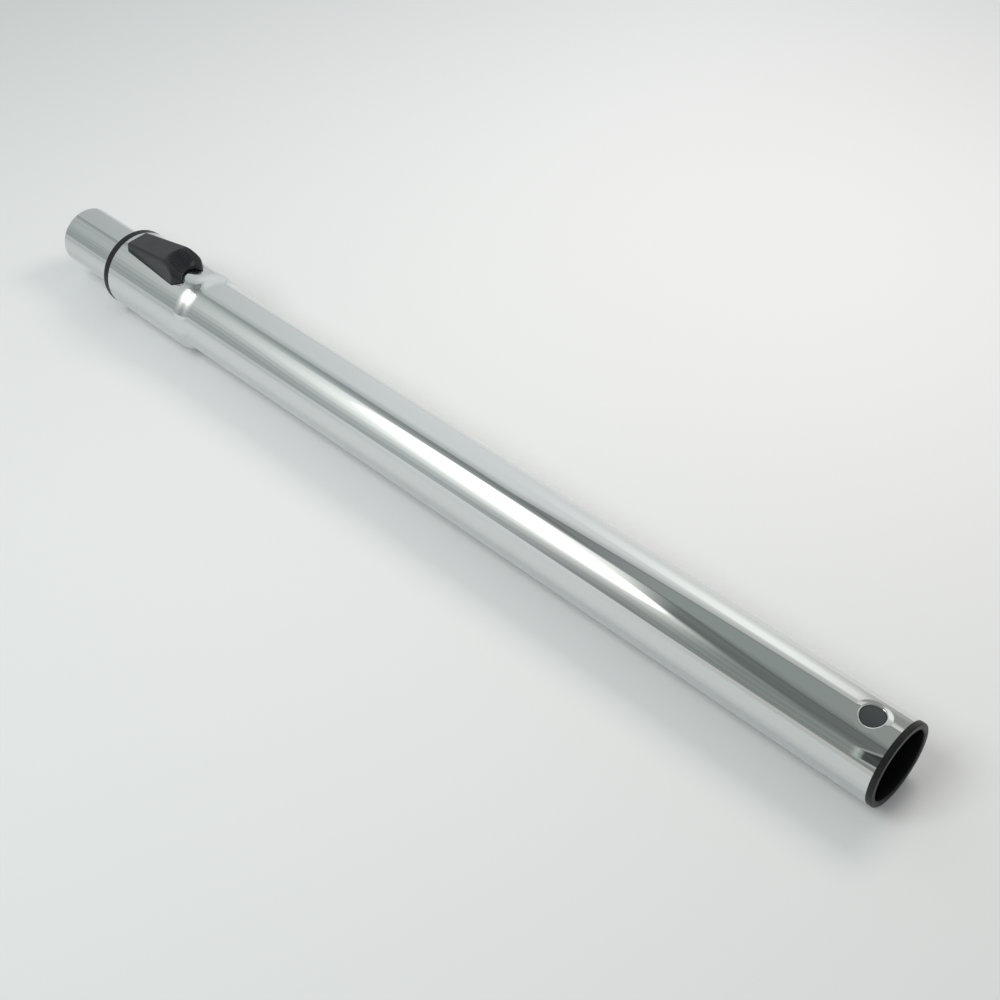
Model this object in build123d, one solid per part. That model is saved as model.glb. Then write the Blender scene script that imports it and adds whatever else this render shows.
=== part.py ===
"""Telescopic vacuum wand, collapsed, lying with its locking slider on top.

Millimetres. The origin is the centre of the tool socket's mouth, +X runs along
the wand to the handle end, and +Z points up through the slider.
"""
from build123d import *
import math
import os

# Tubes
SPIGOT_OD = 32.0
SPIGOT_STEP = 0.2        # the sized spigot stands this proud of the sliding tube
SPIGOT_CONE = 0.4
INNER_WALL = 0.8
TUBE_SPACE = 2.4         # between the sliding tube and the outer tube's bore
OUTER_WALL = 0.8
COLLAR_STEP = 2.25       # the collar's radius beyond the plain tube's
COLLAR_LENGTH = 55.7
SHOULDER_LENGTH = 8.5
INNER_PROTRUSION = 48.7
TUBE_END_ROUND = 0.35

# Clearances
FIT = 0.1                # running fit of a guided tube
SLIDE_GAP = 0.3          # between the slider and the collar it travels over
END_GAP = 0.3            # in front of a moving piece at its stop
SEAT_GAP = 0.05          # between pieces that are assembled and stay put

# Locking notches pressed into the inner tube
NOTCH_COUNT = 31
NOTCH_PITCH = 11.7
NOTCH_DEPTH = 1.1
NOTCH_HALF_LENGTH = 6.5

# Tool socket
SOCKET_DEPTH = 36.0
SOCKET_STOP_WALL = 2.0
SOCKET_STOP_HEIGHT = 1.0
SOCKET_LEAD_IN = 0.5
RIM_THICKNESS = 2.6
RIM_ROUND = 0.7
TUBE_REST_GAP = 2.0      # between the socket's stop and the collapsed inner tube
FIXING_HOLE_X = 15.0
FIXING_HOLE_D = 10.2
FIXING_HOLE_ROUND = 0.7
BOSS_CLEARANCE = 0.15
BOSS_SINK = 0.6

# Rear guide on the inner tube's hidden end
GUIDE_LENGTH = 20.0
GUIDE_SPLIT = 0.3
GUIDE_STOP_GAP = 0.5
PEG_INSET = 5.0
PEG_D = 2.8
PEG_CLEARANCE = 0.1
REAR_SEAL_INSET = 10.0
SEAL_WIDTH = 3.0
SEAL_DEPTH = 1.2

# Guide bush in the collar
BUSH_LENGTH = 71.2
BUSH_SHOULDER_GAP = 1.5
FLANGE_THICKNESS = 4.6
FLANGE_ROUND = 1.1
FRONT_SEAL_INSET = 3.0

# Slider button
BUTTON_LENGTH = 47.4
BUTTON_SETBACK = 4.3     # from the collar's end to the button's thin end
BUTTON_THIN_RISE = 1.75  # height of the thin end above the collar
BUTTON_SLOPE = 10.4      # degrees
TOP_HALF_THIN = 6.0
TOP_HALF_THICK = 8.1
BASE_HALF_THIN = 8.2
BASE_HALF_THICK = 11.0
BEVEL_OUT = 0.8
BEVEL_DROP = 1.1
THIN_CORNER_LENGTH = 2.4
THIN_CORNER_WIDTH = 1.6
NOSE_LENGTH = 6.0
NOSE_WIDTH = 3.4
NOSE_ROUND = 1.2
CREST_X_FROM_TIP = 12.4
CREST_FOOT_FROM_TIP = 1.6
CREST_ROUND = 3.0
FALL_BULGE = 1.3         # how far the fall from crest to tip stands proud of straight
HORN_RISE = 0.95         # height of the two horns' tips above the collar
BOWL_RADIUS = 15.2
BOWL_SINK = 0.6          # depth of the bowl's lowest point below the collar's top
NOTCH_RADIUS = 6.2       # between the horns
BUTTON_WALL = 1.8
RIB_COUNT = 6
RIB_PITCH = 1.15
RIB_RADIUS = 0.38
RIB_HALF_WIDTH = 6.0
FIRST_RIB_FROM_TIP = 12.9

# Lock
SLIDER_TRAVEL = 4.0
ROLLER_LIFT = 1.3
ROLLER_FROM_TIP = 23.0
ROLLER_D = 4.0
ROLLER_NOTCH_GAP = 0.1
ROLLER_BODY_HALF = 3.9
JOURNAL_D = 1.4
JOURNAL_HALF = 7.0
JOURNAL_CLEARANCE = 0.1
CHEEK_THICKNESS = 1.2
CHEEK_CLEARANCE = 0.2
FRONT_BRIDGE = 7.0
REAR_BRIDGE = 3.0
STEM_LENGTH = 3.6
STEM_WIDTH = 5.0
STEM_DEPTH = 2.4
SPRING_LENGTH = 12.0
SPRING_OD = 3.2
SPRING_WIRE = 0.5
SPRING_TURNS = 8
SPRING_BORE_CLEARANCE = 0.2
SPRING_HALF_SPACING = 3.5

# Radii
spigot_r = SPIGOT_OD / 2
inner_r = spigot_r - SPIGOT_STEP
inner_bore_r = inner_r - INNER_WALL
outer_bore_r = inner_r + TUBE_SPACE
outer_r = outer_bore_r + OUTER_WALL
collar_r = outer_r + COLLAR_STEP
collar_bore_r = collar_r - OUTER_WALL
running_r = inner_r + FIT
socket_r = spigot_r + FIT
roller_r = ROLLER_D / 2
journal_r = JOURNAL_D / 2

# Places along the wand
travel = (NOTCH_COUNT - 1) * NOTCH_PITCH
stop_end_x = SOCKET_DEPTH + SOCKET_STOP_WALL
inner_start_x = stop_end_x + TUBE_REST_GAP
nose_x = inner_start_x + GUIDE_LENGTH + travel + GUIDE_STOP_GAP
collar_end_x = nose_x + BUSH_LENGTH
shoulder_top_x = collar_end_x - COLLAR_LENGTH
shoulder_foot_x = shoulder_top_x - SHOULDER_LENGTH
inner_end_x = collar_end_x + INNER_PROTRUSION
spigot_start_x = collar_end_x + FLANGE_THICKNESS + END_GAP
thin_x = collar_end_x - BUTTON_SETBACK
tip_x = thin_x - BUTTON_LENGTH

# Places in the lock
roller_x = tip_x + ROLLER_FROM_TIP
roller_z = inner_r - NOTCH_DEPTH + roller_r + ROLLER_NOTCH_GAP
notch_r = roller_r + ROLLER_NOTCH_GAP
notch_z = inner_r - NOTCH_DEPTH + notch_r
cheek_in = ROLLER_BODY_HALF + CHEEK_CLEARANCE
cheek_out = cheek_in + CHEEK_THICKNESS
carriage_in_r = inner_r + SLIDE_GAP
carriage_out_r = collar_bore_r - SLIDE_GAP
window_start_x = roller_x - roller_r - SLIDER_TRAVEL - END_GAP
carriage_start_x = window_start_x - FRONT_BRIDGE
carriage_end_x = roller_x + roller_r + END_GAP + REAR_BRIDGE
stem_x = carriage_start_x + FRONT_BRIDGE / 2
stem_bottom_z = carriage_out_r - STEM_DEPTH
spring_r = SPRING_OD / 2
spring_z = (running_r + collar_bore_r - FIT) / 2
spring_end_x = carriage_end_x + SPRING_LENGTH


def along_x(radius, start, end):
    """Solid round bar on the wand's axis."""
    middle = (start + end) / 2
    return Pos(middle, 0, 0) * Rot(0, 90, 0) * Cylinder(radius, end - start)


def ring(outer, inner, start, end):
    """Plain tube on the wand's axis."""
    return along_x(outer, start, end) - along_x(inner, start, end)


def block(x0, x1, y0, y1, z0, z1):
    """Box between two corners."""
    size = (x1 - x0, y1 - y0, z1 - z0)
    return Pos((x0 + x1) / 2, (y0 + y1) / 2, (z0 + z1) / 2) * Box(*size)


def cross_bar(radius, half_length, x, z):
    """Round bar across the wand."""
    return Pos(x, 0, z) * Rot(90, 0, 0) * Cylinder(radius, 2 * half_length)


def shoulder_arcs(offset):
    """Two tangent arcs from the plain tube up to the collar, inset by offset."""
    radius = (SHOULDER_LENGTH**2 + COLLAR_STEP**2) / (4 * COLLAR_STEP)
    sweep = 2 * math.degrees(math.atan(COLLAR_STEP / SHOULDER_LENGTH))
    foot = CenterArc((shoulder_foot_x, outer_r + radius), radius + offset, -90, sweep)
    top = CenterArc((shoulder_top_x, collar_r - radius), radius - offset, 90, sweep)
    return foot, top


def tube_skin(offset):
    """Outline of the outer tube, inset by offset, from the mouth to the collar's end."""
    foot, top = shoulder_arcs(offset)
    plain = Line((RIM_THICKNESS, outer_r - offset), foot @ 0)
    collar = Line(top @ 0, (collar_end_x, collar_r - offset))
    return [plain, foot, top, collar]


def outer_tube():
    """Chromed tube with its swaged collar, the lock's window and the fixing hole."""
    outside = tube_skin(0)
    inside = tube_skin(OUTER_WALL)
    mouth = Line(outside[0] @ 0, inside[0] @ 0)
    end = Line(outside[-1] @ 1, inside[-1] @ 1)
    tube = revolve(make_face(outside + inside + [mouth, end]), Axis.X, 360)
    window = block(
        carriage_start_x + FRONT_BRIDGE / 2 - STEM_LENGTH / 2 - END_GAP,
        roller_x + roller_r + END_GAP,
        -cheek_in,
        cheek_in,
        inner_r,
        collar_r + SLIDE_GAP,
    )
    hole = Pos(FIXING_HOLE_X, 0, outer_r) * Cylinder(FIXING_HOLE_D / 2, outer_r)
    tube = tube - window - hole
    rim = tube.edges().filter_by(on_hole_rim)
    return fillet(rim, FIXING_HOLE_ROUND)


def on_hole_rim(edge):
    """True for the outer edge of the fixing hole."""
    box = edge.bounding_box()
    centred = abs(box.center().X - FIXING_HOLE_X) < FIXING_HOLE_D / 4
    return centred and box.min.Z > outer_bore_r and box.size.X < FIXING_HOLE_D + END_GAP


def end_sleeve():
    """Black socket liner: visible rim, stop for the tool's spigot, fixing boss."""
    rim = ring(outer_r, socket_r, 0, RIM_THICKNESS)
    edge = rim.edges().filter_by(GeomType.CIRCLE).group_by(Axis.X)[0]
    rim = fillet(edge.sort_by(SortBy.RADIUS)[-1], RIM_ROUND)
    liner_r = outer_bore_r - SEAT_GAP
    liner = ring(liner_r, socket_r, RIM_THICKNESS, stop_end_x)
    stop = ring(liner_r, socket_r - SOCKET_STOP_HEIGHT, SOCKET_DEPTH, stop_end_x)
    boss_r = FIXING_HOLE_D / 2 - BOSS_CLEARANCE
    boss = Pos(FIXING_HOLE_X, 0, outer_r) * Cylinder(boss_r, 2 * (outer_r - socket_r))
    boss = boss & ring(outer_r - BOSS_SINK, socket_r + FIT, RIM_THICKNESS, SOCKET_DEPTH)
    sleeve = rim + liner + stop + boss
    mouth = sleeve.edges().filter_by(GeomType.CIRCLE).group_by(Axis.X)[0]
    return chamfer(mouth.sort_by(SortBy.RADIUS)[0], SOCKET_LEAD_IN)


def notch_places():
    """Places of the locking notches along the inner tube, from the handle end."""
    return [roller_x - i * NOTCH_PITCH for i in range(NOTCH_COUNT)]


def inner_tube():
    """Chromed inner tube: sized spigot, pressed notches and the guide's peg holes."""
    cone_end_x = spigot_start_x + SPIGOT_CONE
    points = [
        (inner_start_x, inner_bore_r),
        (inner_start_x, inner_r),
        (spigot_start_x, inner_r),
        (cone_end_x, spigot_r),
        (inner_end_x, spigot_r),
        (inner_end_x, spigot_r - INNER_WALL),
        (cone_end_x, spigot_r - INNER_WALL),
        (spigot_start_x, inner_bore_r),
    ]
    tube = revolve(make_face(Polyline(*points, close=True)), Axis.X, 360)
    ends = tube.edges().filter_by(GeomType.CIRCLE).group_by(Axis.X)[-1]
    tube = fillet(ends, TUBE_END_ROUND)
    core = along_x(inner_r, inner_start_x, inner_end_x)
    press_r = notch_r + INNER_WALL
    dents = [cross_bar(press_r, NOTCH_HALF_LENGTH, x, notch_z) for x in notch_places()]
    tube = tube + [core & dent for dent in dents]
    grooves = [cross_bar(notch_r, inner_r, x, notch_z) for x in notch_places()]
    return tube - grooves - cross_bar(PEG_D / 2, inner_r, guide_peg_x(), 0)


def guide_peg_x():
    """Place of the pegs that fasten the rear guide."""
    return inner_start_x + PEG_INSET


def guide_seal_x():
    """Start of the groove for the rear seal."""
    return inner_start_x + REAR_SEAL_INSET


def rear_guide(side):
    """Half shell on the inner tube's hidden end; side is 1 or -1 across the wand."""
    end_x = inner_start_x + GUIDE_LENGTH
    shell = ring(outer_bore_r - FIT, inner_r + SEAT_GAP, inner_start_x, end_x)
    groove_r = outer_bore_r - SEAL_DEPTH
    seal_x = guide_seal_x()
    shell = shell - ring(outer_bore_r, groove_r, seal_x, seal_x + SEAL_WIDTH)
    peg_r = PEG_D / 2 - PEG_CLEARANCE
    peg = cross_bar(peg_r, inner_r + FIT, guide_peg_x(), 0)
    peg = peg - cross_bar(PEG_D, inner_bore_r, guide_peg_x(), 0)
    reach = side * outer_r
    half = block(
        inner_start_x,
        end_x,
        min(side * GUIDE_SPLIT / 2, reach),
        max(side * GUIDE_SPLIT / 2, reach),
        -outer_r,
        outer_r,
    )
    return (shell + peg) & half


def rear_seal():
    """Felt ring that holds the rear guide's halves and wipes the outer tube."""
    seal_x = guide_seal_x() + SEAT_GAP
    end_x = guide_seal_x() + SEAL_WIDTH - SEAT_GAP
    return ring(outer_bore_r - SEAT_GAP, outer_bore_r - SEAL_DEPTH + SEAT_GAP, seal_x, end_x)


def front_seal_x():
    """Start of the groove for the front seal, under the collar's end."""
    return collar_end_x - FRONT_SEAL_INSET - SEAL_WIDTH


def front_seal():
    """Felt ring in the guide bush that wipes the inner tube."""
    seal_x = front_seal_x() + SEAT_GAP
    end_x = front_seal_x() + SEAL_WIDTH - SEAT_GAP
    return ring(running_r + SEAL_DEPTH - SEAT_GAP, inner_r + SEAT_GAP, seal_x, end_x)


def guide_bush():
    """Black bush that guides the inner tube and houses the lock; its flange shows."""
    flange = ring(collar_r, running_r, collar_end_x, collar_end_x + FLANGE_THICKNESS)
    edge = flange.edges().filter_by(GeomType.CIRCLE).group_by(Axis.X)[-1]
    flange = fillet(edge.sort_by(SortBy.RADIUS)[-1], FLANGE_ROUND)
    body_x = shoulder_top_x + BUSH_SHOULDER_GAP
    body = ring(collar_bore_r - FIT, running_r, body_x, collar_end_x)
    tail = ring(outer_bore_r - FIT, running_r, nose_x, body_x)
    seal_x = front_seal_x()
    groove = ring(running_r + SEAL_DEPTH, inner_r, seal_x, seal_x + SEAL_WIDTH)
    pocket = block(
        carriage_start_x - END_GAP,
        carriage_end_x + SLIDER_TRAVEL + END_GAP,
        -cheek_out - CHEEK_CLEARANCE,
        cheek_out + CHEEK_CLEARANCE,
        0,
        collar_r,
    )
    slot_half = journal_r + JOURNAL_CLEARANCE
    slot = block(
        roller_x - slot_half,
        roller_x + slot_half,
        -JOURNAL_HALF - CHEEK_CLEARANCE,
        JOURNAL_HALF + CHEEK_CLEARANCE,
        roller_z - slot_half,
        collar_r,
    )
    bush = flange + body + tail - groove - pocket - slot
    bore_r = spring_r + SPRING_BORE_CLEARANCE
    for side in (-1, 1):
        bore = along_x(bore_r, carriage_end_x, spring_end_x)
        bush = bush - Pos(0, side * SPRING_HALF_SPACING, spring_z) * bore
    return bush


def top_z(x):
    """Height of the slider button's top facet."""
    return collar_r + BUTTON_THIN_RISE + (thin_x - x) * math.tan(math.radians(BUTTON_SLOPE))


def button_section(x, top_half, base_half, inset):
    """Bevelled trapezium across the wand; its sides run on into the collar."""
    high = top_z(x) - inset
    bevel_y = top_half + BEVEL_OUT - inset
    bevel_z = high - BEVEL_DROP
    foot_y = base_half - inset
    foot_z = math.sqrt(collar_r**2 - base_half**2)
    deep_z = inner_r
    lean = (foot_y - bevel_y) / (bevel_z - foot_z)
    deep_y = foot_y + lean * (foot_z - deep_z)
    flat_y = top_half - inset
    right = [(deep_y, deep_z), (bevel_y, bevel_z), (flat_y, high)]
    left = [(-y, z) for y, z in reversed(right)]
    return Plane.YZ.offset(x) * make_face(Polyline(*right, *left, close=True))


def button_wedge(start, end, inset):
    """Wedge between two stations of the slider button."""
    sections = []
    for x in (start, end):
        share = (thin_x - x) / BUTTON_LENGTH
        top_half = TOP_HALF_THIN + share * (TOP_HALF_THICK - TOP_HALF_THIN)
        base_half = BASE_HALF_THIN + share * (BASE_HALF_THICK - BASE_HALF_THIN)
        sections.append(button_section(x, top_half, base_half, inset))
    return loft(sections, ruled=True)


def button_plan():
    """Outline seen from above: cut corners at the thin end, a tapered round tip."""
    wide = BASE_HALF_THICK
    narrow = BASE_HALF_THIN - THIN_CORNER_WIDTH
    shoulder_x = thin_x - THIN_CORNER_LENGTH
    right = [
        (tip_x, wide - NOSE_WIDTH),
        (tip_x + NOSE_LENGTH, wide),
        (shoulder_x, BASE_HALF_THIN + SLIDE_GAP),
        (thin_x, narrow),
    ]
    left = [(x, -y) for x, y in reversed(right)]
    outline = make_face(Polyline(*right, *left, close=True))
    tip_corners = outline.vertices().group_by(Axis.X)[0]
    outline = fillet(tip_corners, NOSE_ROUND)
    return extrude(outline, 2 * collar_r)


def button_profile():
    """Outline seen from the side: the crest and the bulging fall to the horns."""
    crest_x = tip_x + CREST_X_FROM_TIP
    foot_x = tip_x + CREST_FOOT_FROM_TIP
    crest_point = (crest_x, top_z(crest_x))
    foot_point = (foot_x, collar_r)
    straight = Polyline(foot_point, (foot_x, 0), (thin_x, 0), (thin_x, top_z(thin_x)), crest_point)
    outline = make_face(straight + SagittaArc(foot_point, crest_point, FALL_BULGE))
    crest = outline.vertices().sort_by(Axis.Y)[-1]
    outline = fillet(crest, CREST_ROUND)
    prism = extrude(Plane.XZ * outline, BASE_HALF_THICK + SLIDE_GAP, both=True)
    return prism + along_x(collar_r + HORN_RISE, tip_x, thin_x)


def bowl_centre():
    """Place of the thumb bowl's centre."""
    return tip_x, collar_r - BOWL_SINK + BOWL_RADIUS


def button_ribs():
    """Grip ribs that follow the thumb bowl."""
    x0, z0 = bowl_centre()
    ribs = []
    for i in range(RIB_COUNT):
        reach = FIRST_RIB_FROM_TIP - i * RIB_PITCH
        major = math.sqrt(BOWL_RADIUS**2 - reach**2)
        hoop = Pos(x0 + reach, 0, z0) * Rot(0, 90, 0) * Torus(major, RIB_RADIUS)
        ribs.append(hoop)
    return ribs


def slide_button():
    """Black thumb slider outside the collar, with its foot through the window."""
    solid = button_wedge(thin_x, tip_x, 0) & button_plan() & button_profile()
    x0, z0 = bowl_centre()
    grip = block(tip_x, thin_x, -RIB_HALF_WIDTH, RIB_HALF_WIDTH, 0, z0)
    ribs = [solid & grip & hoop for hoop in button_ribs()]
    shell = solid - Pos(x0, 0, z0) * Sphere(BOWL_RADIUS)
    shell = shell - Pos(tip_x, 0, collar_r) * Cylinder(NOTCH_RADIUS, collar_r)
    shell = shell + ribs
    hollow_start = thin_x - BUTTON_WALL
    hollow_end = stem_x + STEM_LENGTH / 2 + BUTTON_WALL
    shell = shell - button_wedge(hollow_start, hollow_end, BUTTON_WALL)
    shell = shell - along_x(collar_r + SLIDE_GAP, tip_x, thin_x)
    foot = block(
        stem_x - STEM_LENGTH / 2,
        stem_x + STEM_LENGTH / 2,
        -STEM_WIDTH / 2,
        STEM_WIDTH / 2,
        stem_bottom_z,
        collar_r + HORN_RISE,
    )
    return shell + foot


def lock_carriage():
    """Black carriage under the window; its sloping slots lift the roller."""
    carriage = ring(carriage_out_r, carriage_in_r, carriage_start_x, carriage_end_x)
    carriage = carriage & block(
        carriage_start_x, carriage_end_x, -cheek_out, cheek_out, 0, collar_r
    )
    bay = block(
        window_start_x, carriage_end_x - REAR_BRIDGE, -cheek_in, cheek_in, 0, collar_r
    )
    socket_half_x = STEM_LENGTH / 2 + SEAT_GAP
    socket_half_y = STEM_WIDTH / 2 + SEAT_GAP
    socket = block(
        stem_x - socket_half_x,
        stem_x + socket_half_x,
        -socket_half_y,
        socket_half_y,
        stem_bottom_z,
        collar_r,
    )
    run = math.hypot(SLIDER_TRAVEL, ROLLER_LIFT)
    slope = math.degrees(math.atan2(ROLLER_LIFT, -SLIDER_TRAVEL))
    slot = SlotCenterToCenter(run, JOURNAL_D + 2 * JOURNAL_CLEARANCE, rotation=slope)
    middle = Pos(roller_x - SLIDER_TRAVEL / 2, roller_z + ROLLER_LIFT / 2)
    cam = extrude(Plane.XZ * middle * slot, collar_r, both=True)
    return carriage - bay - socket - cam


def lock_roller():
    """Steel roller that drops into a notch, with a journal at each end."""
    body = cross_bar(roller_r, ROLLER_BODY_HALF, roller_x, roller_z)
    return body + cross_bar(journal_r, JOURNAL_HALF, roller_x, roller_z)


def return_spring(side):
    """Compression spring that pushes the carriage towards the tool end."""
    wire_r = SPRING_WIRE / 2
    height = SPRING_LENGTH - SPRING_WIRE
    coil_r = spring_r - wire_r
    y = side * SPRING_HALF_SPACING
    start = (carriage_end_x + wire_r, y, spring_z)
    coil = Helix(height / SPRING_TURNS, height, coil_r, center=start, direction=(1, 0, 0))
    section = Plane(origin=coil @ 0, z_dir=coil % 0) * Circle(wire_r)
    return sweep(section, path=coil)


def write(node, solid):
    """Write one named piece."""
    solid.label = node
    export_step(solid, f"parts/{node}.step")


os.makedirs("parts", exist_ok=True)
write("outer_tube", outer_tube())
write("end_sleeve", end_sleeve())
write("guide_bush", guide_bush())
write("front_seal", front_seal())
write("slide_button", slide_button())
write("lock_carriage", lock_carriage())
write("lock_roller", lock_roller())
write("return_spring_left", return_spring(-1))
write("return_spring_right", return_spring(1))
write("inner_tube", inner_tube())
write("rear_guide_left", rear_guide(-1))
write("rear_guide_right", rear_guide(1))
write("rear_seal", rear_seal())
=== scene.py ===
import bpy
import math
import numpy as np
from mathutils import Matrix, Vector


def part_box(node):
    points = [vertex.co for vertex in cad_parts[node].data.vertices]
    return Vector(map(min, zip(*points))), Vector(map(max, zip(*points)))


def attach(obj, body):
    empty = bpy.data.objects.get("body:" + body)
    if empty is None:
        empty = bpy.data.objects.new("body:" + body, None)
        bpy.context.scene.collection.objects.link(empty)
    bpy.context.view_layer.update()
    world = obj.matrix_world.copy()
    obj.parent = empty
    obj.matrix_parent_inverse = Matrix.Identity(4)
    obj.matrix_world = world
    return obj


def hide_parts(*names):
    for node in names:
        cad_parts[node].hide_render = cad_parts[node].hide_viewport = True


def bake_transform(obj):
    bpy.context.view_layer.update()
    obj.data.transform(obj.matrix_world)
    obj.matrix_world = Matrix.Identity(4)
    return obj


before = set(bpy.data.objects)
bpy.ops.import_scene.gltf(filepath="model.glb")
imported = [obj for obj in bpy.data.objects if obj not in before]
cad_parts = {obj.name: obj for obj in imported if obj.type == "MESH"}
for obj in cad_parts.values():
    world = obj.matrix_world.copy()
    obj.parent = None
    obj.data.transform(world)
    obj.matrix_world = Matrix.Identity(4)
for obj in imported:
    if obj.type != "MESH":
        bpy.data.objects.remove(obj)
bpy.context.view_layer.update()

# Sizes here are in millimetres and Blender's are in metres; a pattern whose scale is less
# than 1000 along an axis is stretched along it
MM = 0.001
TO_MM = (1000, 1000, 1000)

# Tubes, as in the CAD model
OUTER_R = 19.0
COLLAR_R = 21.25
HOLE_X = 15.0

# Thumb slider: s runs from its tip to its thin end, and a pair holds the size at each end
TIP_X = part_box("slide_button")[0].x / MM
SLIDE_GAP = 0.3
BUTTON_LENGTH = 47.4
BUTTON_THIN_RISE = 1.75
BUTTON_SLOPE = math.tan(math.radians(10.4))
TOP_HALF = (8.1, 6.0)
BASE_HALF = (11.2, 8.2)
BEVEL_OUT = 0.8
BEVEL_DROP = 1.1
NOSE_LENGTH = 6.0
NOSE_HALF = 6.7
HEEL_LENGTH = 2.4
HEEL_HALF = 6.6

# Slider's front: an arc from the crest to the foot, and low horns beside a round notch
CREST_S = 12.4
FOOT_S = 1.0
FALL_BULGE = 1.3
HORN_RISE = 1.1
NOTCH_S = -1.9
NOTCH_RADIUS = 6.5

# Slider's bowl: a finger groove whose floor has BOWL_RADIUS, with ribs across it
BOWL_RADIUS = 17.7
BOWL_RISE = 1.06
BOWL_HALF = 7.2
BOWL_POWER = 2.3
RIB_RADIUS = 0.42
RIB_SINK = 0.3
RIB_FIRST_S = 13.0
RIB_PITCH = 1.15
RIB_COUNT = 7

# Sharpness of the slider's rounded edges: the larger it is, the smaller the edge's radius
NOSE_SHARP = 1.7
FACET_SHARP = 4.0
CUT_SHARP = 5.0
RIB_END_SHARP = 8.0
RIB_FOOT_SHARP = 12.0

# Specular level of satin plastic, and of the bowl that the mould left matt
SATIN_SHINE = 0.35
MATT_SHINE = 0.2


def to_linear(code):
    """Linear colour of an sRGB hex code: the standard's power curve with its straight foot."""
    channels = np.array([int(code[i:i + 2], 16) for i in (1, 3, 5)]) / 255
    low = channels / 12.92
    high = ((channels + 0.055) / 1.055) ** 2.4
    return (*np.where(channels <= 0.04045, low, high).tolist(), 1.0)


def add_node(tree, kind, inputs=(), **settings):
    """Add a node with its settings; inputs are (socket, number, colour, output socket or node)."""
    node = tree.nodes.new(kind)
    for name, value in settings.items():
        setattr(node, name, value)
    for socket, value in inputs:
        if isinstance(value, bpy.types.Node):
            value = next(output for output in value.outputs if output.enabled)
        if isinstance(value, bpy.types.NodeSocket):
            tree.links.new(value, node.inputs[socket])
        else:
            node.inputs[socket].default_value = value
    return node


def new_material(name, color, roughness, metallic=0.0, **sockets):
    """Principled material with its constants on the shader; returns it with its tree and shader."""
    material = bpy.data.materials.new(name)
    material.use_nodes = True
    tree = material.node_tree
    shader = tree.nodes["Principled BSDF"]
    shader.inputs["Base Color"].default_value = to_linear(color)
    shader.inputs["Roughness"].default_value = roughness
    shader.inputs["Metallic"].default_value = metallic
    for socket, value in sockets.items():
        shader.inputs[socket.replace("_", " ")].default_value = value
    return material, tree, shader


def chromium_plate(name, color, smooth, worn, wave_height, dish_depth):
    """Chromium plate over drawn and buffed steel tube: a crisp, faintly cool mirror.

    Long waves left by drawing bend its reflections a little, and more near the pressed
    mouth. Hair lines along the tube come from buffing, handling leaves patches that
    mirror less sharply, and the sheet dips round the punched hole.
    """
    drawn_scale, wave_size, patch_size = (330, 1000, 1000), 16, 14
    hair_scale, hairs_per_mm, hair_height = (20, 1000, 1000), 1.2, 0.0005
    mouth_start, mouth_end, mouth_gain = 5, 75, 3.0
    dish_start, dish_end = 4.2, 8
    patch_low, patch_high = 0.45, 0.75
    material, tree, shader = new_material(name, color, smooth, 1.0)
    place = add_node(tree, "ShaderNodeTexCoord").outputs["Object"]
    parts = add_node(tree, "ShaderNodeSeparateXYZ", [(0, place)]).outputs
    drawn = add_node(tree, "ShaderNodeMapping", [("Vector", place), ("Scale", drawn_scale)])
    waves = add_node(tree, "ShaderNodeTexNoise",
                     [("Vector", drawn), ("Scale", 1 / wave_size), ("Detail", 1.0)])
    gain = add_node(tree, "ShaderNodeMapRange",
                    [(0, parts["X"]), (1, mouth_start * MM), (2, mouth_end * MM), (3, mouth_gain), (4, 1.0)])
    waves = add_node(tree, "ShaderNodeMath", [(0, waves), (1, gain)], operation="MULTIPLY")
    normal = add_node(tree, "ShaderNodeBump", [("Height", waves), ("Distance", wave_height * MM)])
    if dish_depth:
        hole = (HOLE_X * MM, 0, 0)
        centred = add_node(tree, "ShaderNodeVectorMath", [(0, place), (1, hole)], operation="SUBTRACT")
        flat = add_node(tree, "ShaderNodeVectorMath", [(0, centred), (1, (1, 1, 0))], operation="MULTIPLY")
        reach = add_node(tree, "ShaderNodeVectorMath", [(0, flat)], operation="LENGTH").outputs["Value"]
        dish = add_node(tree, "ShaderNodeMapRange",
                        [(0, reach), (1, dish_start * MM), (2, dish_end * MM)],
                        interpolation_type="SMOOTHSTEP")
        under = add_node(tree, "ShaderNodeMath", [(0, parts["Z"]), (1, 0.0)], operation="LESS_THAN")
        dish = add_node(tree, "ShaderNodeMath", [(0, dish), (1, under)], operation="MAXIMUM")
        normal = add_node(tree, "ShaderNodeBump",
                          [("Height", dish), ("Distance", dish_depth * MM), ("Normal", normal)])
    lines = add_node(tree, "ShaderNodeMapping", [("Vector", place), ("Scale", hair_scale)])
    hairs = add_node(tree, "ShaderNodeTexNoise",
                     [("Vector", lines), ("Scale", hairs_per_mm), ("Detail", 3.0)])
    normal = add_node(tree, "ShaderNodeBump",
                      [("Height", hairs), ("Distance", hair_height * MM), ("Normal", normal)])
    patches = add_node(tree, "ShaderNodeTexNoise",
                       [("Vector", drawn), ("Scale", 1 / patch_size), ("Detail", 4.0)])
    rough = add_node(tree, "ShaderNodeMapRange",
                     [(0, patches), (1, patch_low), (2, patch_high), (3, smooth), (4, worn)])
    tree.links.new(rough.outputs[0], shader.inputs["Roughness"])
    tree.links.new(normal.outputs[0], shader.inputs["Normal"])
    return material


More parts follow.
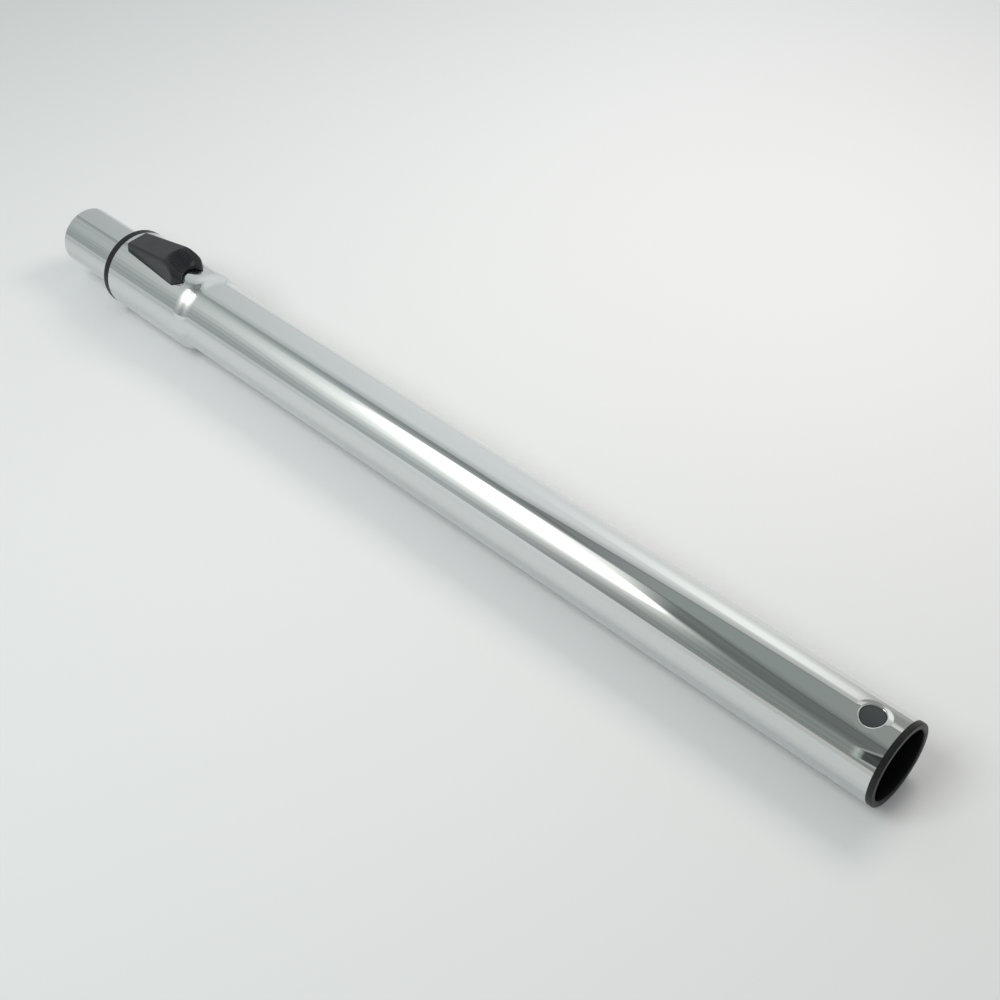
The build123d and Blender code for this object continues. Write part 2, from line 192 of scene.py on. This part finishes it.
def moulded(name, color, light_color, roughness, grain, depth, bore_shade_and_boss_colors=None):
    """Injection-moulded plastic from a spark-eroded mould: satin, with a fine even grain.

    Grains of the given size in millimetres are raised, and rather larger specks are
    slightly lighter. A liner's bore, past the rim, is painted darker as shade, and its
    boss in the fixing hole is lighter.
    """
    speck_fineness, speck_low, speck_high = 0.6, 0.4, 0.75
    handled_size, handled_low, handled_high = 9, 0.3, 0.7
    rubbed, dulled = 0.05, 0.06
    rim_start, rim_end, lip_end, bore_radius = 0.6, 2.5, 5.0, 17.0
    material, tree, shader = new_material(name, color, roughness, IOR=1.5, Specular_IOR_Level=SATIN_SHINE)
    place = add_node(tree, "ShaderNodeTexCoord").outputs["Object"]
    point = add_node(tree, "ShaderNodeMapping", [("Vector", place), ("Scale", TO_MM)])
    grains = add_node(tree, "ShaderNodeTexNoise", [("Vector", point), ("Scale", 1 / grain), ("Detail", 2.0)])
    specks = add_node(tree, "ShaderNodeTexNoise",
                      [("Vector", point), ("Scale", speck_fineness / grain), ("Detail", 3.0)])
    share = add_node(tree, "ShaderNodeMapRange", [(0, specks), (1, speck_low), (2, speck_high)])
    tone = add_node(tree, "ShaderNodeMix",
                    [("Factor", share), ("A", to_linear(color)), ("B", to_linear(light_color))],
                    data_type="RGBA")
    # Painted shade: the liner's bore past the rim takes a near-black colour; the boss takes a lighter one
    if bore_shade_and_boss_colors:
        bore_shade_color, boss_color = bore_shade_and_boss_colors
        x = add_node(tree, "ShaderNodeSeparateXYZ", [(0, point)]).outputs["X"]
        across = add_node(tree, "ShaderNodeVectorMath", [(0, point), (1, (0, 1, 1))], operation="MULTIPLY")
        radius = add_node(tree, "ShaderNodeVectorMath", [(0, across)], operation="LENGTH").outputs["Value"]
        past_rim = add_node(tree, "ShaderNodeMapRange", [(0, x), (1, rim_start), (2, rim_end)])
        in_bore = add_node(tree, "ShaderNodeMath", [(0, radius), (1, bore_radius)], operation="LESS_THAN")
        bore = add_node(tree, "ShaderNodeMath", [(0, past_rim), (1, in_bore)], operation="MULTIPLY")
        past_lip = add_node(tree, "ShaderNodeMath", [(0, x), (1, lip_end)], operation="GREATER_THAN")
        boss = add_node(tree, "ShaderNodeMath", [(0, past_lip), (1, in_bore)],
                        operation="SUBTRACT", use_clamp=True)
        for share, place_color in ((bore, bore_shade_color), (boss, boss_color)):
            tone = add_node(tree, "ShaderNodeMix",
                            [("Factor", share), ("A", tone), ("B", to_linear(place_color))],
                            data_type="RGBA")
    handled = add_node(tree, "ShaderNodeTexNoise",
                       [("Vector", point), ("Scale", 1 / handled_size), ("Detail", 3.0)])
    rough = add_node(tree, "ShaderNodeMapRange",
                     [(0, handled), (1, handled_low), (2, handled_high),
                      (3, roughness - rubbed), (4, roughness + dulled)])
    bump = add_node(tree, "ShaderNodeBump",
                    [("Height", grains), ("Strength", 0.5), ("Distance", depth * MM)])
    tree.links.new(next(o for o in tone.outputs if o.enabled), shader.inputs["Base Color"])
    tree.links.new(rough.outputs[0], shader.inputs["Roughness"])
    tree.links.new(bump.outputs[0], shader.inputs["Normal"])
    return material


def matt_bowl(material):
    """Thumb bowl left matt by the mould, so it shines less than the facets round it.

    The matt part ends where the distance from the groove's middle line, worked out
    nearly as in slider_field, is a little more than BOWL_HALF.
    """
    matt_end, satin_start = BOWL_HALF + 0.4, BOWL_HALF + 1.1
    origin = (TIP_X * MM, 0, (COLLAR_R + BOWL_RISE + BOWL_RADIUS) * MM)
    tree = material.node_tree
    place = add_node(tree, "ShaderNodeTexCoord").outputs["Object"]
    centred = add_node(tree, "ShaderNodeVectorMath", [(0, place), (1, origin)], operation="SUBTRACT")
    point = add_node(tree, "ShaderNodeVectorMath", [(0, centred), (1, TO_MM)], operation="MULTIPLY")
    upright = add_node(tree, "ShaderNodeVectorMath", [(0, point), (1, (1, 0, 1))], operation="MULTIPLY")
    radius = add_node(tree, "ShaderNodeVectorMath", [(0, upright)], operation="LENGTH").outputs["Value"]
    deep = add_node(tree, "ShaderNodeMath", [(0, radius), (1, BOWL_RADIUS - BOWL_HALF)],
                    operation="SUBTRACT")
    deep = add_node(tree, "ShaderNodeMath", [(0, deep), (1, 0.0)], operation="MAXIMUM")
    y = add_node(tree, "ShaderNodeSeparateXYZ", [(0, point)]).outputs["Y"]
    section = add_node(tree, "ShaderNodeCombineXYZ", [(0, deep), (1, y)])
    reach = add_node(tree, "ShaderNodeVectorMath", [(0, section)], operation="LENGTH").outputs["Value"]
    shine = add_node(tree, "ShaderNodeMapRange",
                     [(0, reach), (1, matt_end), (2, satin_start), (3, MATT_SHINE), (4, SATIN_SHINE)])
    tree.links.new(shine.outputs[0], tree.nodes["Principled BSDF"].inputs["Specular IOR Level"])


def ground_steel(name, color, roughness):
    """Ground or drawn steel: bright, with fine lines across the wand, as the roller lies."""
    line_scale, lines_per_mm, line_height = (1000, 50, 1000), 3.0, 0.02
    material, tree, shader = new_material(name, color, roughness, 1.0)
    place = add_node(tree, "ShaderNodeTexCoord").outputs["Object"]
    point = add_node(tree, "ShaderNodeMapping", [("Vector", place), ("Scale", line_scale)])
    lines = add_node(tree, "ShaderNodeTexNoise",
                     [("Vector", point), ("Scale", lines_per_mm), ("Detail", 2.0)])
    bump = add_node(tree, "ShaderNodeBump",
                    [("Height", lines), ("Strength", 0.2), ("Distance", line_height * MM)])
    tree.links.new(bump.outputs[0], shader.inputs["Normal"])
    return material


def pressed_felt(name, color, light_color):
    """Pressed wool felt: matt, with short tangled fibres that lie along the wand."""
    fibre_scale, fibres_per_mm, fibre_height = (400, 1000, 1000), 3.0, 0.15
    material, tree, shader = new_material(name, color, 0.95, Sheen_Weight=0.4)
    place = add_node(tree, "ShaderNodeTexCoord").outputs["Object"]
    point = add_node(tree, "ShaderNodeMapping", [("Vector", place), ("Scale", fibre_scale)])
    fibres = add_node(tree, "ShaderNodeTexNoise",
                      [("Vector", point), ("Scale", fibres_per_mm), ("Detail", 5.0), ("Roughness", 0.7)])
    tone = add_node(tree, "ShaderNodeMix",
                    [("Factor", fibres), ("A", to_linear(color)), ("B", to_linear(light_color))],
                    data_type="RGBA")
    bump = add_node(tree, "ShaderNodeBump",
                    [("Height", fibres), ("Strength", 0.8), ("Distance", fibre_height * MM)])
    tree.links.new(next(o for o in tone.outputs if o.enabled), shader.inputs["Base Color"])
    tree.links.new(bump.outputs[0], shader.inputs["Normal"])
    return material


def mesh_object(name, points, faces, smooth=True):
    """Mesh object at the origin from points in millimetres and quads."""
    mesh = bpy.data.meshes.new(name)
    mesh.from_pydata((np.asarray(points) * MM).tolist(), [], np.asarray(faces).tolist())
    if smooth:
        mesh.shade_smooth()
    obj = bpy.data.objects.new(name, mesh)
    bpy.context.scene.collection.objects.link(obj)
    return obj


def grid_faces(rows, columns):
    """Quads of a grid of points numbered row by row."""
    a = np.arange(rows - 1)[:, None] * columns + np.arange(columns - 1)[None, :]
    return np.stack([a, a + 1, a + columns + 1, a + columns], -1).reshape(-1, 4)


def ramp(value, start, end):
    """Smooth step: 0 up to start and 1 from end, with 3t^2 - 2t^3 between."""
    t = np.clip((value - start) / (end - start), 0, 1)
    return t * t * (3 - 2 * t)


def hump(value, centre, width):
    """Bell curve: the exponential of minus the squared distance from the centre, in widths."""
    return np.exp(-(((value - centre) / width) ** 2))


def mix(first, second, share):
    """Blend from the first value to the second: the first plus the share of their difference."""
    return first + (second - first) * share


def soft_max(values, sharpness):
    """Rounded maximum: the logarithm of the sum of exponentials, so edges get a radius."""
    values = np.stack(values)
    top = values.max(0)
    return top + np.log(np.exp(sharpness * (values - top)).sum(0)) / sharpness


def plane_through(a, b, c, inside):
    """Unit normal and offset of the plane through three points, facing away from inside."""
    a, b, c, inside = (np.array(p, float) for p in (a, b, c, inside))
    normal = np.cross(b - a, c - a)
    normal /= np.linalg.norm(normal)
    if normal @ (inside - a) > 0:
        normal = -normal
    return normal, normal @ a


def slider_top(s):
    """Height of the slider's top facet at s millimetres from its tip."""
    return COLLAR_R + BUTTON_THIN_RISE + (BUTTON_LENGTH - s) * BUTTON_SLOPE


def slider_planes():
    """Flat facets of the slider's right half.

    In order: top, bevel, side, the nose's cut corner, the heel's, the tip, the thin end.
    """
    core = (BUTTON_LENGTH / 2, 0, COLLAR_R)
    top, bevel, foot = [], [], []
    for s, top_half, base_half in zip((0.0, BUTTON_LENGTH), TOP_HALF, BASE_HALF):
        high = slider_top(s)
        top.append((s, top_half, high))
        bevel.append((s, top_half + BEVEL_OUT, high - BEVEL_DROP))
        foot.append((s, base_half, math.sqrt(COLLAR_R**2 - base_half**2)))
    heel_s = BUTTON_LENGTH - HEEL_LENGTH
    nose_start, nose_end = (0, NOSE_HALF, 0), (NOSE_LENGTH, BASE_HALF[0], 0)
    heel_start, heel_end = (heel_s, BASE_HALF[1], 0), (BUTTON_LENGTH, HEEL_HALF, 0)
    return [
        plane_through(top[0], top[1], (0, 0, top[0][2]), core),
        plane_through(top[0], top[1], bevel[0], core),
        plane_through(bevel[0], bevel[1], foot[0], core),
        plane_through(nose_start, nose_end, (0, NOSE_HALF, 1), core),
        plane_through(heel_start, heel_end, (heel_s, BASE_HALF[1], 1), core),
        plane_through((0, 0, 0), (0, 1, 0), (0, 0, 1), core),
        plane_through((BUTTON_LENGTH, 0, 0), (BUTTON_LENGTH, 1, 0), (BUTTON_LENGTH, 0, 1), core),
    ]


def slider_field(s, y, z):
    """Signed distance of the thumb slider, below 0 inside.

    It is the rounded maximum of its facets and its front, less the bowl's groove and
    an upright round notch between the horns, joined with hoops for the ribs. The front
    is an arc that falls from the crest, or the low ring that makes the horns. The
    groove is a tube bent upwards round an axis across the slider.
    """
    y = np.abs(y)
    point = np.stack([s, y, z], -1)
    crest, foot = np.array([CREST_S, slider_top(CREST_S)]), np.array([FOOT_S, COLLAR_R])
    chord = crest - foot
    half = np.linalg.norm(chord) / 2
    fall_r = (half**2 + FALL_BULGE**2) / (2 * FALL_BULGE)
    outward = np.array([-chord[1], chord[0]]) / (2 * half)
    centre = (crest + foot) / 2 - outward * (fall_r - FALL_BULGE)
    fall = np.hypot(np.minimum(s, centre[0]) - centre[0], z - centre[1]) - fall_r
    horn = np.hypot(y, z) - COLLAR_R - HORN_RISE
    front = -soft_max([-fall, -horn], CUT_SHARP)
    facets = [point @ normal - offset for normal, offset in slider_planes()]
    top, bevel, side, nose_corner, heel_corner, tip, thin_end = facets
    nose = soft_max([nose_corner, tip, front], NOSE_SHARP)
    body = soft_max([top, bevel, side, heel_corner, thin_end, nose], FACET_SHARP)
    bowl_z = COLLAR_R + BOWL_RISE + BOWL_RADIUS
    deep = np.maximum(np.hypot(s, z - bowl_z) - BOWL_RADIUS + BOWL_HALF, 0)
    bowl = BOWL_HALF - (deep**BOWL_POWER + y**BOWL_POWER) ** (1 / BOWL_POWER)
    notch = NOTCH_RADIUS - np.hypot(s - NOTCH_S, y)
    cut = soft_max([body, bowl, notch], CUT_SHARP)
    along = np.minimum.reduce([np.abs(s - (RIB_FIRST_S - RIB_PITCH * i)) for i in range(RIB_COUNT)])
    rib = soft_max([np.hypot(along, bowl) - RIB_RADIUS, body + RIB_SINK], RIB_END_SHARP)
    return -soft_max([-cut, -rib], RIB_FOOT_SHARP)


def slider_plan(reach):
    """Where the slider's plan starts and ends along s, at reach millimetres from its middle.

    It starts at the notch, the rounded tip or the nose's corner, and ends at the thin
    end, the side or the heel's corner, with a small margin inside the walls.
    """
    tip_sharp, tip_back, side_back, margin = 3.0, 0.2, 0.6, 0.03
    notch = NOTCH_S + np.sqrt(np.clip(NOTCH_RADIUS**2 - reach**2, 0, None))
    nose = (reach - NOSE_HALF) * NOSE_LENGTH / (BASE_HALF[0] - NOSE_HALF)
    front = np.maximum(soft_max([np.zeros_like(nose), nose], tip_sharp) - tip_back, notch)
    side = BUTTON_LENGTH * (1 - (reach - BASE_HALF[1]) / (BASE_HALF[0] - BASE_HALF[1]))
    heel = BUTTON_LENGTH - (reach - HEEL_HALF) * HEEL_LENGTH / (BASE_HALF[1] - HEEL_HALF)
    back = np.minimum.reduce([np.full(len(reach), BUTTON_LENGTH), side - side_back, heel])
    return front + margin, back - margin


def slider_skin():
    """Rounded thumb slider: a height field over its plan, marched down onto its signed distance.

    Rows run at constant y from the plan's front to its back, and rows and columns crowd
    towards the edges. Each height is stepped down until it is inside the slider, then
    halved in on the surface. Walls drop from the outline to a surface SLIDE_GAP clear
    of the collar, which the underside follows.
    """
    rows, columns = 171, 250
    half_width, crowding, lean = 10.66, 0.8, 1.2
    start_rise, step, steps, halvings = 9.5, 0.1, 130, 12
    least_height = 0.02
    v = np.linspace(-1, 1, rows)
    across = half_width * (0.5 * np.sin(v * np.pi / 2) + 0.5 * v)
    front, back = slider_plan(np.abs(across))
    t = np.linspace(0, 1, columns)
    t = (t - crowding * np.sin(2 * np.pi * t) / (2 * np.pi)) ** lean
    s = front[:, None] + (back - front)[:, None] * t
    y = np.repeat(across[:, None], columns, 1)
    floor = np.sqrt((COLLAR_R + SLIDE_GAP) ** 2 - y**2)
    high = np.full_like(s, COLLAR_R + start_rise)
    found = np.zeros(s.shape, bool)
    for _ in range(steps):
        found |= slider_field(s, y, high) < 0
        high = np.where(found, high, high - step)
    low, upper = high, high + step
    for _ in range(halvings):
        middle = (low + upper) / 2
        inside = slider_field(s, y, middle) < 0
        low, upper = np.where(inside, middle, low), np.where(inside, upper, middle)
    top = np.maximum(np.where(found, low, 0), floor + least_height)
    points = np.concatenate([np.stack([TIP_X + s, y, z], -1).reshape(-1, 3) for z in (top, floor)])
    roof = grid_faces(rows, columns)
    index = np.arange(rows * columns).reshape(rows, columns)
    border = np.concatenate([index[0, :-1], index[:-1, -1], index[-1, :0:-1], index[:0:-1, 0]])
    after, count = np.roll(border, -1), rows * columns
    wall = np.stack([border, after, after + count, border + count], -1)
    faces = np.concatenate([roof, roof[:, ::-1] + count, wall[:, ::-1]])
    return mesh_object("slider_skin", points, faces)


def set_material(obj, material):
    """Give a piece one material in place of all its slots."""
    obj.data.materials.clear()
    obj.data.materials.append(material)


# Finishes
outer_chrome = chromium_plate("chromium_plated_tube", "#D9DCDC", 0.012, 0.035, 0.02, 0.3)
inner_chrome = chromium_plate("chromium_plated_inner_tube", "#D6D9DA", 0.02, 0.05, 0.03, 0)
liner_abs = moulded("black_moulded_abs_liner", "#111213", "#1C1D1F", 0.42, 0.6, 0.03,
                    # The liner's first extra colour is painted shade for its bore; the second is the boss's
                    # lighter colour
                    bore_shade_and_boss_colors=("#050505", "#383B3C"))
black_abs = moulded("black_moulded_abs", "#0F1113", "#191B1D", 0.42, 0.4, 0.03)
slider_abs = moulded("charcoal_spark_textured_abs", "#202226", "#292B2F", 0.34, 0.35, 0.012)
matt_bowl(slider_abs)
carriage_pom = moulded("black_moulded_acetal", "#1C1D1E", "#26282A", 0.35, 0.5, 0.02)
guide_pom = moulded("grey_moulded_acetal", "#8C8D8F", "#98999B", 0.35, 0.5, 0.02)
roller_steel = ground_steel("ground_hardened_steel", "#BEBEC0", 0.22)
spring_wire = ground_steel("drawn_spring_steel", "#A0A1A3", 0.3)
felt = pressed_felt("pressed_black_felt", "#26272A", "#4A4B4E")

finishes = {
    "outer_tube": outer_chrome,
    "inner_tube": inner_chrome,
    "end_sleeve": liner_abs,
    "guide_bush": black_abs,
    "slide_button": slider_abs,
    "lock_carriage": carriage_pom,
    "lock_roller": roller_steel,
    "return_spring_left": spring_wire,
    "return_spring_right": spring_wire,
    "front_seal": felt,
    "rear_seal": felt,
    "rear_guide_left": guide_pom,
    "rear_guide_right": guide_pom,
}
for node, material in finishes.items():
    set_material(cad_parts[node], material)

slider = slider_skin()
set_material(slider, slider_abs)
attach(slider, "slider")
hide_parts("slide_button")

# Each return spring, which shortens between the bush that holds its end and the carriage, is copied as a
# piece of its own in place of its CAD node
for side in ("left", "right"):
    node = "return_spring_" + side
    spring = bpy.data.objects.new("coil_spring_" + side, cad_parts[node].data.copy())
    bpy.context.scene.collection.objects.link(spring)
    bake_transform(spring)
    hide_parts(node)


# Studio: pale table, a cloth tent that the chrome mirrors, a camera at the photograph's angle

# In the tent, x is millimetres along the wand. Side is degrees round it, from the near table
# edge, 0, over the top, 90, to the far edge, 180. A light of 1 is plain white.
TENT_RADIUS = 500
GAP_SIDE = 98
GAP_END_X = 485
GAP_LENGTH = 355
WARM_CLOTH = np.array([1.0, 1.0, 0.955])
COOLER_BY_HANDLE_END = np.array([-0.035, 0.0, 0.045])
GREENER = np.array([-0.08, 0.0, -0.01])
WARM_LAMP = np.array([1.0, 0.985, 0.93])


def far_cloth(x, side, gap_upper):
    """Light off the far half, which is white cloth.

    It dims by the mouth, past the handle end and beside the gap, and has a streak of
    window light. By the mouth it is also shaded, with a paler lip between the shade
    and the top.
    """
    beside_gap, shaded = 0.60, 0.36
    cloth = 0.85 - 0.27 * ramp(x, 550, 1150) - 0.33 * hump(x, 95, 100)
    streak = 0.38 * hump(x, 230, 170) * ramp(side, 134, 141) * (1 - ramp(side, 150, 178))
    light = mix(beside_gap, cloth, ramp(side, gap_upper + 2, gap_upper + 20)) + streak
    shade = (1 - ramp(x, 138, 168)) * ramp(side, 134, 141) * (1 - 0.6 * ramp(side, 160, 176))
    lip = 0.2 * (1 - ramp(x, 135, 155)) * (1 - ramp(side, 131, 138))
    return mix(light, shaded, shade) + lip


def dark_belt(x, side):
    """Share of the dim room's dark belt, whose foot rises along the wand and which ends at 380 mm."""
    foot = 43 + 0.13 * np.clip(x - 180, 0, 200)
    return (1 - ramp(x, 300, 380)) * ramp(side, foot - 6, foot + 3)


def near_room(x, side):
    """Light off the near half, a dim room with its dark belt, and a paler band at the top."""
    belt = dark_belt(x, side)
    room = 0.31 + 0.17 * ramp(x, 330, 560) - 0.05 * ramp(x, 650, 850)
    room = mix(room, 0.19 + 0.06 * ramp(side, 60, 80), belt)
    band = (0.53 - 0.17 * ramp(side, 80, 95)) * (0.72 + 0.43 * ramp(x, 380, 850))
    return mix(room, band, ramp(side, 76, 82) * (1 - belt))


def room_lamp(x, side):
    """Light of the room's one soft lamp: an oval, and its spill, which the dark belt stops."""
    strength = 1.5
    spill_x, spill_reach = 480, 200
    lamp_x, lamp_reach, lamp_half = 490, 185, 17
    fade = 1 / (1 + ((x - spill_x) / spill_reach) ** 2)
    spread = np.where(x < spill_x, hump(x, spill_x, spill_reach), fade)
    below = 1 - ramp(side, 77.5, 81.5)
    spill = spread * ramp(x, 235, 330) * hump(side, 62, 24) * below * (1 - dark_belt(x, side))
    middle = 57 + 0.03 * (x - 330)
    oval = ramp(1 - ((x - lamp_x) / lamp_reach) ** 2 - ((side - middle) / lamp_half) ** 2, 0, 0.3)
    return strength * (spill + oval)


def cloth_folds(x, side):
    """Gain of the light over shallow folds low on the near side: three waves that sway along it."""
    depth = 0.15
    sway = side + 5 * np.sin(x / 83) + 2.5 * np.sin(x / 37 + 1)
    folds = 0.5 * np.sin(0.55 * sway) + 0.3 * np.sin(1.3 * sway + x / 61) + 0.2 * np.sin(2.3 * sway - x / 29)
    return 1 + depth * folds * ramp(side, 9, 16) * (1 - ramp(side, 45, 66))


def with_dark_patch(light, x, side):
    """Light with a small slanting dark patch and its pale frame, low on the near side by the mouth."""
    patch_x, patch_reach = 120, 17
    slant_x, middle_side, half_side = 124, 37, 13
    middle = middle_side - 0.5 * (x - slant_x)
    half = np.clip(half_side - 0.25 * (x - slant_x), 5, 18)
    off = np.maximum(np.abs(side - middle) / half, np.abs(x - patch_x) / patch_reach)
    framed = light + 0.25 * hump(off, 1.25, 0.16) * ramp(side, 12, 16)
    return framed * (1 - 0.72 * (1 - ramp(off, 0.95, 1.02)))


def tent_light(x, side):
    """Light off the tent, as linear red, green and blue.

    The far half is white cloth, and the near half is the dim room with one soft lamp.
    Between them the tent stands open: the gap is widest at the mouth's end, closes to a
    point past the middle, and has a darker hem on both edges. Low on the near side the
    cloth has folds and a dark patch, and under it lies the table.
    """
    spread_up, spread_down, hem_width, hem_dark = 26, 29, 2, 0.07
    open_share = np.clip((GAP_END_X - x) / GAP_LENGTH, 0, 1)
    upper = GAP_SIDE + spread_up * (1 - (1 - open_share) ** 1.8)
    lower = GAP_SIDE - spread_down * (1 - (1 - open_share) ** 1.6)
    light = mix(near_room(x, side), far_cloth(x, side, upper), ramp(side, upper - 1, upper + 2))
    gap = ramp(side, lower - 3, lower + 6 + 8 * open_share**2) * (1 - ramp(side, upper - 1.5, upper + 1.5))
    light = mix(light, 0.37 - 0.07 * ramp(x, 320, 420), gap)
    hem = hump(side, lower, hem_width) + hump(side, upper, hem_width)
    light = light - hem_dark * hem * ramp(open_share, 0, 0.1)
    light = light * cloth_folds(x, side)
    table = 0.62 + 0.18 * ramp(x, 180, 430) - 0.17 * ramp(x, 560, 850)
    light = mix(table, light, ramp(side, 9.0, 10.6))
    light = with_dark_patch(light, x, side)
    near_side = (1 - ramp(side, 90, 110)) * ramp(side, 9, 12)
    green = np.maximum(gap, near_side) * (1 - 0.5 * ramp(x, 250, 450))
    cool = ramp(x, 60, 600)
    tint = WARM_CLOTH + cool[..., None] * COOLER_BY_HANDLE_END + green[..., None] * GREENER
    return light[..., None] * tint + room_lamp(x, side)[..., None] * WARM_LAMP


def light_tent():
    """Cloth arch round the wand's axis, seen only in reflections; its light is kept at its points."""
    spans = (-1200, 100, 50), (100, 170, 1), (170, 900, 5), (900, 3001, 50)
    side_start, side_end, side_step = -2, 182.1, 0.8
    x = np.concatenate([np.arange(*span) for span in spans]).astype(float)
    side = np.arange(side_start, side_end, side_step)
    x_grid, side_grid = np.meshgrid(x, side, indexing="ij")
    angle = np.radians(side_grid)
    arch = [x_grid, TENT_RADIUS * np.cos(angle), TENT_RADIUS * np.sin(angle)]
    points = np.stack(arch, -1).reshape(-1, 3)
    tent = mesh_object("light_tent", points, grid_faces(len(x), len(side)), smooth=False)
    light = np.ones((len(points), 4))
    light[:, :3] = tent_light(x_grid, side_grid).reshape(-1, 3)
    tent.data.attributes.new("cloth_light", "FLOAT_COLOR", "POINT").data.foreach_set("color", light.ravel())
    material = bpy.data.materials.new("lit_white_cloth")
    material.use_nodes = True
    tree = material.node_tree
    tree.nodes.clear()
    cloth = add_node(tree, "ShaderNodeAttribute", attribute_name="cloth_light").outputs["Color"]
    glow = add_node(tree, "ShaderNodeEmission", [("Color", cloth), ("Strength", 1.0)])
    add_node(tree, "ShaderNodeOutputMaterial", [("Surface", glow)])
    set_material(tent, material)
    for ray in ("camera", "diffuse", "shadow", "transmission", "volume_scatter"):
        setattr(tent, "visible_" + ray, False)


def studio_floor():
    """Pale matt table top, level across the wand and touching the collar and the mouth's rim.

    Its colour holds a painted pool of light, brightest at one point given in metres.
    Round it the painted light falls by the exponential of minus the squared distance,
    in reaches, raised to a power.
    """
    far, rim_x, rim_to_collar = 20000.0, 1.0, 430.0
    # Painted pool of light: its centre in metres, its reaches and how fast it falls off
    lit_spot_centre, along_reach, across_reach, fall_power = (0.479, -0.510, 0), 0.544, 0.798, 0.65
    slope = (OUTER_R - COLLAR_R) / rim_to_collar
    corners = (-far, -far), (far, -far), (far, far), (-far, far)
    points = [(x, y, -OUTER_R + slope * (x - rim_x)) for x, y in corners]
    floor = mesh_object("table_top", points, [(0, 1, 2, 3)], smooth=False)
    material, tree, shader = new_material("pale_laminate", "#EDEFEE", 0.6, Specular_IOR_Level=0.0)
    place = add_node(tree, "ShaderNodeTexCoord").outputs["Object"]
    centred = add_node(tree, "ShaderNodeVectorMath", [(0, place), (1, lit_spot_centre)], operation="SUBTRACT")
    flat = add_node(tree, "ShaderNodeVectorMath",
                    [(0, centred), (1, (1 / along_reach, 1 / across_reach, 0))], operation="MULTIPLY")
    square = add_node(tree, "ShaderNodeVectorMath", [(0, flat), (1, flat)], operation="DOT_PRODUCT")
    fall = add_node(tree, "ShaderNodeMath",
                    [(0, square.outputs["Value"]), (1, fall_power)], operation="POWER")
    fall = add_node(tree, "ShaderNodeMath", [(0, fall), (1, -1.0)], operation="MULTIPLY")
    share = add_node(tree, "ShaderNodeMath", [(0, fall)], operation="EXPONENT")
    # Painted light: the colour goes from a dim edge tone to a bright centre tone
    tone = add_node(tree, "ShaderNodeMix",
                    [("Factor", share), ("A", to_linear("#CFD0CE")), ("B", to_linear("#F8F8F8"))],
                    data_type="RGBA")
    tree.links.new(next(o for o in tone.outputs if o.enabled), shader.inputs["Base Color"])
    set_material(floor, material)


def studio_lamp(name, place, aim, size, power, color):
    """Square soft lamp that faces aim, in millimetres; the chrome mirrors the tent instead of it."""
    light = bpy.data.lights.new(name, "AREA")
    light.shape = "SQUARE"
    light.size = size * MM
    light.energy = power
    light.color = to_linear(color)[:3]
    lamp = bpy.data.objects.new(name, light)
    bpy.context.scene.collection.objects.link(lamp)
    lamp.location = Vector(place) * MM
    lamp.rotation_mode = "QUATERNION"
    lamp.rotation_quaternion = (Vector(aim) - Vector(place)).to_track_quat("-Z", "Y")
    lamp.visible_glossy = False


world = bpy.data.worlds.new("studio")
world.use_nodes = True
bpy.context.scene.world = world
background = world.node_tree.nodes["Background"]
background.inputs["Color"].default_value = to_linear("#F8FEFF")
background.inputs["Strength"].default_value = 0.50
light_tent()
studio_floor()
studio_lamp("near_soft_lamp", place=(420, 610, 960), aim=(250, 0, 0), size=600, power=6.2, color="#FAFFFF")
studio_lamp("far_soft_lamp", place=(120, -380, 520), aim=(200, 0, 0), size=230, power=1.3, color="#FFF2EC")

# Camera, as fitted to the photograph: its place in metres, and its own axes
CAMERA_PLACE = (-0.1419, 0.3318, 0.4907)
CAMERA_RIGHT = Vector((-0.71827, -0.69407, -0.04853))
CAMERA_UP = Vector((0.46888, -0.53440, 0.70326))
CAMERA_VIEW = Vector((0.51404, -0.48237, -0.70929))
camera = bpy.data.objects.new("camera", bpy.data.cameras.new("camera"))
bpy.context.scene.collection.objects.link(camera)
camera.data.lens = 55.03
camera.data.sensor_width = 36.0
camera.data.clip_start = 0.01
camera.data.clip_end = 100.0
turn = Matrix((CAMERA_RIGHT, CAMERA_UP, -CAMERA_VIEW)).transposed().to_4x4()
camera.matrix_world = Matrix.Translation(CAMERA_PLACE) @ turn
bpy.context.scene.camera = camera
bpy.context.scene.view_settings.view_transform = "Standard"
